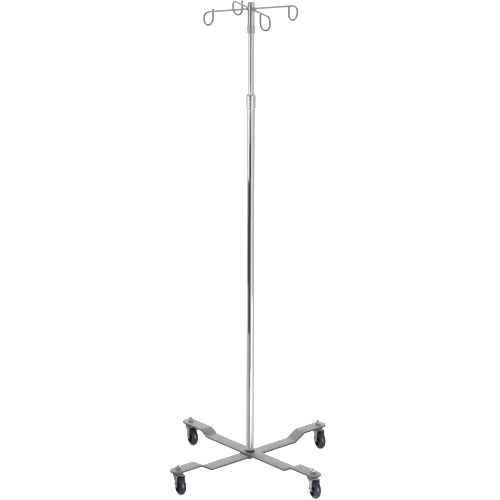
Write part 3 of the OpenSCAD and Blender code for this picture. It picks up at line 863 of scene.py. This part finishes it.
def cheek_limits(z):
    """x of a cheek's two edges at height z, the -X one first."""
    if z >= SHOULDER_Z:
        share = (z - SHOULDER_Z) / (CROWN_TOP - SHOULDER_Z)
        return TRAIL + CHEEK_BACK[0][1], TRAIL + EYE_R - SHOULDER_TAPER * share * share
    if z <= AXLE_Z:
        drop = (AXLE_Z - z) / EYE_R
        half = EYE_R * math.sqrt(1 - drop * drop)
        return TRAIL - half, TRAIL + half
    for (upper_z, upper_x), (lower_z, lower_x) in zip(CHEEK_BACK, CHEEK_BACK[1:]):
        if z >= lower_z:
            share = (z - lower_z) / (upper_z - lower_z)
            return TRAIL + lower_x + (upper_x - lower_x) * share, TRAIL + EYE_R


def fork_stations():
    """Sheet's middle from eye to eye: (y, z, tilt of its normal, -X edge, +X edge)."""
    cheek_y = CHEEK_IN + SHEET / 2
    crown_z = CROWN_TOP - SHEET / 2
    bend_z = crown_z - BEND_R
    crown_y = cheek_y - BEND_R
    heights = [AXLE_Z + EYE_R * math.sin(math.radians(-87 + 87 * k / 10)) for k in range(11)]
    heights += [AXLE_Z + (bend_z - AXLE_Z) * k / 16 for k in range(1, 17)]
    half = [(cheek_y, z, 0.0, *cheek_limits(z)) for z in heights]
    for k in range(1, 9):
        tilt = math.pi / 2 * k / 8
        z = bend_z + BEND_R * math.sin(tilt)
        back, front = cheek_limits(z)
        share = k / 8         # the edges run over into the crown's
        half.append((cheek_y - BEND_R + BEND_R * math.cos(tilt), z, tilt,
                     back * (1 - share) + CROWN_BACK * share,
                     front * (1 - share) + CROWN_FRONT * share))
    for k in range(1, 9):
        out = 1 - k / 8
        bulge = math.sqrt(1 - out * out)
        half.append((crown_y * out, crown_z, math.pi / 2,
                     CROWN_BACK - CROWN_BACK_BULGE * bulge,
                     CROWN_FRONT + CROWN_FRONT_BULGE * bulge))
    return half + [(-y, z, math.pi - tilt, back, front)
                   for y, z, tilt, back, front in reversed(half[:-1])]


def fork_sheet(bm, caster, columns=14):
    """One bent sheet: a crown and two cheeks narrowing to round eyes."""
    outer, inner = [], []
    for y, z, tilt, back, front in fork_stations():
        out_y, out_z = math.cos(tilt), math.sin(tilt)
        outer_row, inner_row = [], []
        for j in range(columns + 1):
            x = back + (front - back) * j / columns
            for row, half in ((outer_row, SHEET / 2), (inner_row, -SHEET / 2)):
                point = Vector((x, y + out_y * half, z + out_z * half))
                row.append(bm.verts.new(caster @ (point * MM)))
        outer.append(outer_row)
        inner.append(inner_row)
    last = len(outer) - 1
    for i in range(last):
        for j in range(columns):
            bm.faces.new((outer[i][j], outer[i][j + 1], outer[i + 1][j + 1], outer[i + 1][j]))
            bm.faces.new((inner[i][j], inner[i + 1][j], inner[i + 1][j + 1], inner[i][j + 1]))
        for j in (0, columns):
            bm.faces.new((outer[i][j], outer[i + 1][j], inner[i + 1][j], inner[i][j]))
    for i in (0, last):
        for j in range(columns):
            bm.faces.new((outer[i][j], outer[i][j + 1], inner[i][j + 1], inner[i][j]))


def fork_cutters(caster):
    """King-pin bore, ball groove and axle bore of a fork, as one closed solid each."""
    groove = []
    for k in range(24):
        angle = 2 * math.pi * k / 24
        groove.append((9 + 2.03 * math.cos(angle), CROWN_TOP + 1.5 + 2.03 * math.sin(angle)))

    def rod(radius, low, high):
        return [(0, low), (radius, low), (radius, high), (0, high)]

    cutters = []
    for profile, segments, matrix, closed in (
            (rod(4.9, CROWN_UNDER - 4, CROWN_TOP + 4), 48, caster, False),
            (groove, 72, caster, True),
            (rod(2.62, -30, 30), 40, axle_frame(caster), False)):
        bm = bmesh.new()
        revolve(bm, profile, segments, matrix, closed)
        cutters.append(link_mesh("cut", bm))
    return cutters


def bake(ob):
    """Writes an object's modifiers into its mesh."""
    bpy.context.view_layer.update()
    depsgraph = bpy.context.evaluated_depsgraph_get()
    mesh = bpy.data.meshes.new_from_object(ob.evaluated_get(depsgraph), depsgraph=depsgraph)
    old = ob.data
    mesh.name = old.name
    ob.modifiers.clear()
    ob.data = mesh
    bpy.data.meshes.remove(old)


def pressed_fork(corner, caster):
    bm = bmesh.new()
    fork_sheet(bm, caster)
    ob = add_piece(f"pressed_fork_{corner}", bm, "zinc", f"caster_{corner}", 40,
                   f"fork_{corner}")
    add_bevel(ob, width=0.45, segments=3, angle=55)
    cutters = fork_cutters(caster)
    for cutter in cutters:
        bore = ob.modifiers.new("bore", "BOOLEAN")
        bore.operation = "DIFFERENCE"
        bore.solver = "EXACT"
        bore.object = cutter
    bake(ob)
    for cutter in cutters:
        mesh = cutter.data
        bpy.data.objects.remove(cutter)
        bpy.data.meshes.remove(mesh)
    shade_smooth(ob.data, 40)


TYRE_HALF = 11.2              # half the wheel's width
TYRE_EXTRA = TYRE_HALF - 10.0  # widening of the sides, whose arcs are set out for 10 mm
RIM_R = WHEEL_R - 8.6
ARCS_MEET = 36.87             # degrees from the axle's direction where side meets tread


def wheel_tyre(corner, wheel):
    """Full-round tyre; its half profile is (radius, offset along the axle)."""
    half = [(RIM_R, 9.25 + TYRE_EXTRA), (RIM_R + 0.5, 9.33 + TYRE_EXTRA),
            (RIM_R + 0.9, 9.1 + TYRE_EXTRA), (RIM_R + 1.3, 9.12 + TYRE_EXTRA)]
    for k in range(7):        # side arc, radius 16
        angle = math.radians(22.0 + (ARCS_MEET - 22.0) * k / 6)
        half.append((WHEEL_R - 13 + 16 * math.sin(angle) - 0.02,
                     16 * math.cos(angle) - 6 + TYRE_EXTRA - 0.02))
    stretch = 1 + TYRE_EXTRA / 6.8   # widens the tread arc to meet the side arc
    for k in range(1, 16):    # tread arc, radius 8.5
        angle = math.radians(ARCS_MEET + 50.5 * k / 15)
        half.append((WHEEL_R - 8.52 + 8.5 * math.sin(angle),
                     8.5 * math.cos(angle) * stretch - 0.02))
    half += [(WHEEL_R - 0.01, 0.24), (WHEEL_R, 0.10)]
    bm = bmesh.new()
    revolve(bm, half + [(r, -h) for r, h in reversed(half)], segments=128, matrix=wheel)
    add_piece(f"wheel_tyre_{corner}", bm, "rubber", f"wheel_{corner}", 40, f"tyre_{corner}")


def wheel_hub(corner, wheel):
    """Moulded hub; its half profile is (radius, offset along the axle, corner radius)."""
    boss = CHEEK_IN - 0.5
    half = [
        (4.06, boss, 0.2), (6.5, boss, 0.5), (7.2, boss - 1.2, 0.3), (7.4, 4.3, 0.8),
        (11.0, 3.9, 0.4), (11.4, 4.5, 0.3), (13.2, 4.5, 0.3), (RIM_R - 2.8, 3.6, 0.8),
        (RIM_R - 2.6, TYRE_HALF - 1.9, 0.3), (RIM_R - 2, TYRE_HALF - 1.25, 0.3),
        (RIM_R - 0.02, TYRE_HALF - 1.25, 0.2)]
    profile = [(r, -h, corner_radius) for r, h, corner_radius in half] + half[::-1]
    bm = bmesh.new()
    revolve(bm, fillet(profile, steps=3), segments=96, matrix=wheel)
    add_piece(f"wheel_hub_{corner}", bm, "hub", f"wheel_{corner}", 35, f"hub_{corner}")


threaded_stems()
raceway_cups()
for corner in CORNERS:
    caster = caster_frame(corner)
    pressed_fork(corner, caster)
    wheel = axle_frame(caster)
    wheel_tyre(corner, wheel)
    wheel_hub(corner, wheel)

# small rounding on nuts and bolt that stay as packed
for name in ["stem_nuts", "base_bolt"] + [f"axle_nut_{corner}" for corner in CORNERS]:
    add_bevel(NODES[name], width=0.25, segments=2, angle=40)

# --------------------------------------------------------------------------
# stage: paper floor and reflection cards, in metres.
# Azimuths are in degrees, 0 towards the camera (-Y) and plus to its right (+X),
# before the whole stage is turned by STAGE_YAW.
# --------------------------------------------------------------------------
scene.view_settings.view_transform = "Standard"
scene.view_settings.look = "None"
scene.view_settings.exposure = 0.0
scene.view_settings.gamma = 1.0

STAGE_YAW = math.radians(3.72)
STAGE_TURN = Matrix.Rotation(STAGE_YAW, 3, "Z")
FLOOR_OUTLINE = [(-9, -9), (9, -9), (12, 30), (-12, 30)]
FLOOR_Z = -0.0002
CARD_Z = 0.0006


def flat(name, outline, z, material):
    bm = bmesh.new()
    bm.faces.new([bm.verts.new(STAGE_TURN @ Vector((x, y, z))) for x, y in outline])
    ob = link_mesh(name, bm)
    ob.data.materials.append(material)
    return ob


def paper_floor():
    m = Material("paper_floor")
    m.set(Roughness=0.95, Specular_IOR_Level=0.0)
    mottle = m.remap(m.noise(scale=3.0), span=(0.3, 0.7), to=(0.0, 0.3))
    m.set(Base_Color=m.mix(mottle, (0.93, 0.93, 0.93), (0.92, 0.92, 0.92)),
          Emission_Color=(1, 1, 1), Emission_Strength=0.80)
    floor = flat("paper_floor", FLOOR_OUTLINE, FLOOR_Z, m.material)
    floor.visible_glossy = False
    floor.visible_diffuse = False


def card_material(name, level):
    """Matt card seen only in reflections, its tone set by its own glow."""
    m = Material(name)
    m.set(Roughness=1.0, Base_Color=(0, 0, 0), Specular_IOR_Level=0.0)
    mottle = m.remap(m.noise(scale=1.2), span=(0.3, 0.7))
    m.set(Emission_Color=m.mix(mottle, (0.92, 0.92, 0.93), (1.0, 1.0, 1.0)),
          Emission_Strength=level)
    return m.material


CARD_GLOW = {"dark": 0.035, "dim": 0.10, "deep": 0.06, "mid": 0.42, "glow": 2.2, "white": 1.35}
# name, tone, first and last azimuth, near and far distance from the pole
CARDS = [
    ("card_1", "dim", -22, 6, 0.75, 1.35), ("card_2", "deep", -68, 8, 1.35, 1.95),
    ("card_3", "deep", -84, 8, 1.95, 2.95), ("card_4", "deep", -76, 13, 2.95, 3.58),
    ("card_14", "dark", -40, 13, 3.58, 4.3), ("card_5", "dark", -16, 10, 4.3, 5.13),
    ("card_10", "dark", -16, 10, 5.33, 7.1), ("card_11", "glow", -62, 16, 5.13, 5.33),
    ("card_13", "white", 9, 34, 0.15, 0.95), ("card_6", "dark", -26, 12, 7.1, 14),
    ("card_7", "dark", -112, -74, 7.25, 14), ("card_8", "white", 34, 64, 0.2, 1.8),
    ("card_9", "mid", -80, -44, 0.2, 1.35),
]


def wedge(first, last, near, far, steps=10):
    """Outline of a ring sector on the floor."""
    def point(azimuth, distance):
        angle = math.radians(azimuth)
        return distance * math.sin(angle), -distance * math.cos(angle)
    return ([point(first + (last - first) * k / steps, near) for k in range(steps + 1)]
            + [point(last + (first - last) * k / steps, far) for k in range(steps + 1)])


paper_floor()
card_materials = {tone: card_material(f"card_{tone}", glow) for tone, glow in CARD_GLOW.items()}
for name, tone, *sector in CARDS:
    card = flat(name, wedge(*sector), CARD_Z, card_materials[tone])
    card.visible_camera = False
    card.visible_diffuse = False
    card.visible_shadow = False

# --------------------------------------------------------------------------
# surround: what reflections, diffuse light and the camera each see
# --------------------------------------------------------------------------
# brightness round the horizon: (azimuth, level), for low and for raised directions
LOW_BAND = [
    (-180, 0.58), (-120, 0.62), (-92, 0.64), (-76, 0.74), (-66, 1.10), (-50, 1.10),
    (-40, 0.45), (-28, 0.30), (0, 0.27), (11, 0.42), (18, 0.95), (38, 0.95), (48, 0.62),
    (64, 0.50), (92, 0.43), (120, 0.50), (150, 0.56), (180, 0.58)]
HIGH_BAND = [
    (-180, 1.30), (-152, 1.10), (-132, 0.32), (-84, 0.26), (-66, 0.85), (-46, 0.80),
    (-30, 0.16), (16, 0.12), (34, 0.55), (60, 0.95), (85, 0.30), (112, 0.45),
    (145, 1.10), (180, 1.30)]
# diffuse light from straight down (0) to straight up (1): (position, level)
DIFFUSE_RISE = [(0.0, 0.18), (0.46, 0.22), (0.54, 0.30), (0.75, 0.62), (1.0, 0.85)]
OVERHEAD = (0.60, 0.60, 0.61)


def grey_ramp(shader, stops, factor):
    """Ramp of greys with a slightly raised blue."""
    node = shader.node("ShaderNodeValToRGB")
    elements = node.color_ramp.elements
    while len(elements) < len(stops):
        elements.new(0.5)
    for element, (position, level) in zip(elements, stops):
        element.position = position
        element.color = (level, level, min(level * 1.006, 4), 1)
    shader.feed(node.inputs["Fac"], factor)
    return node.outputs["Color"]


def studio_world():
    world = bpy.data.worlds.new("studio")
    scene.world = world
    world.use_nodes = True
    world.node_tree.nodes.clear()
    s = Shader(world.node_tree)
    coords = s.node("ShaderNodeTexCoord")
    turned = s.node("ShaderNodeMapping", vector_type="POINT")
    turned.inputs["Rotation"].default_value = (0, 0, -STAGE_YAW)
    s.feed(turned.inputs["Vector"], coords.outputs["Generated"])
    axes = s.node("ShaderNodeSeparateXYZ")
    s.feed(axes.inputs[0], turned.outputs["Vector"])
    height = axes.outputs["Z"]
    towards_camera = s.math("MULTIPLY", axes.outputs["Y"], -1)
    azimuth = s.math("ARCTAN2", axes.outputs["X"], towards_camera)
    around = s.remap(azimuth, span=(-math.pi, math.pi))
    low, high = (grey_ramp(s, [((a + 180) / 360, level) for a, level in band], around)
                 for band in (LOW_BAND, HIGH_BAND))
    sides = s.mix(s.remap(height, span=(-0.12, 0.10)), low, high)
    glossy = s.mix(s.remap(height, span=(0.45, 0.85)), sides, OVERHEAD)
    diffuse = grey_ramp(s, DIFFUSE_RISE, s.remap(height, span=(-1, 1)))
    rays = s.node("ShaderNodeLightPath")
    colour = s.mix(rays.outputs["Is Glossy Ray"], diffuse, glossy)
    colour = s.mix(rays.outputs["Is Camera Ray"], colour, (1.0, 1.0, 1.0))
    background = s.node("ShaderNodeBackground")
    s.feed(background.inputs["Color"], colour)
    background.inputs["Strength"].default_value = 1.0
    output = s.node("ShaderNodeOutputWorld")
    s.feed(output.inputs["Surface"], background.outputs[0])


studio_world()


# --------------------------------------------------------------------------
# lights and camera
# --------------------------------------------------------------------------
def area_light(name, place, target, size, power, glossy=True):
    """Square area light aimed at a target."""
    light = bpy.data.lights.new(name, "AREA")
    light.shape = "RECTANGLE"
    light.size = size
    light.size_y = size
    light.energy = power
    ob = bpy.data.objects.new(name, light)
    scene.collection.objects.link(ob)
    ob.location = STAGE_TURN @ Vector(place)
    aim = Vector(target) - STAGE_TURN @ Vector(place)
    ob.rotation_euler = aim.to_track_quat("-Z", "Y").to_euler()
    ob.visible_glossy = glossy
    return ob


area_light("top_back_soft", place=(-0.6, 3.0, 2.6), target=(0, 0, 0), size=2.4, power=190,
           glossy=False)
# soft kicker that only the tyres take
kicker = area_light("tyre_kicker", place=(0.9, -4.2, 0.75), target=(0, 0, 0.03), size=1.6,
                    power=260)
takers = bpy.data.collections.new("tyre_kicker_takers")
for corner in CORNERS:
    takers.objects.link(bpy.data.objects[f"wheel_tyre_{corner}"])
kicker.light_linking.receiver_collection = takers

CAMERA_PLACE = (-0.0014, -6.462, 2.6427)
CAMERA_PITCH = math.radians(16.59)    # downwards
CAMERA_ROLL = math.radians(0.16)


def add_camera():
    data = bpy.data.cameras.new("camera")
    camera = bpy.data.objects.new("camera", data)
    scene.collection.objects.link(camera)
    scene.camera = camera
    data.sensor_fit = "HORIZONTAL"
    data.sensor_width = 36.0
    data.lens = 159.3504
    data.clip_start = 0.1
    data.clip_end = 100
    aim = (Matrix.Rotation(STAGE_YAW, 4, "Z")
           @ Matrix.Rotation(math.pi / 2 - CAMERA_PITCH, 4, "X")
           @ Matrix.Rotation(CAMERA_ROLL, 4, "Z"))
    camera.matrix_world = Matrix.Translation(STAGE_TURN @ Vector(CAMERA_PLACE)) @ aim


add_camera()
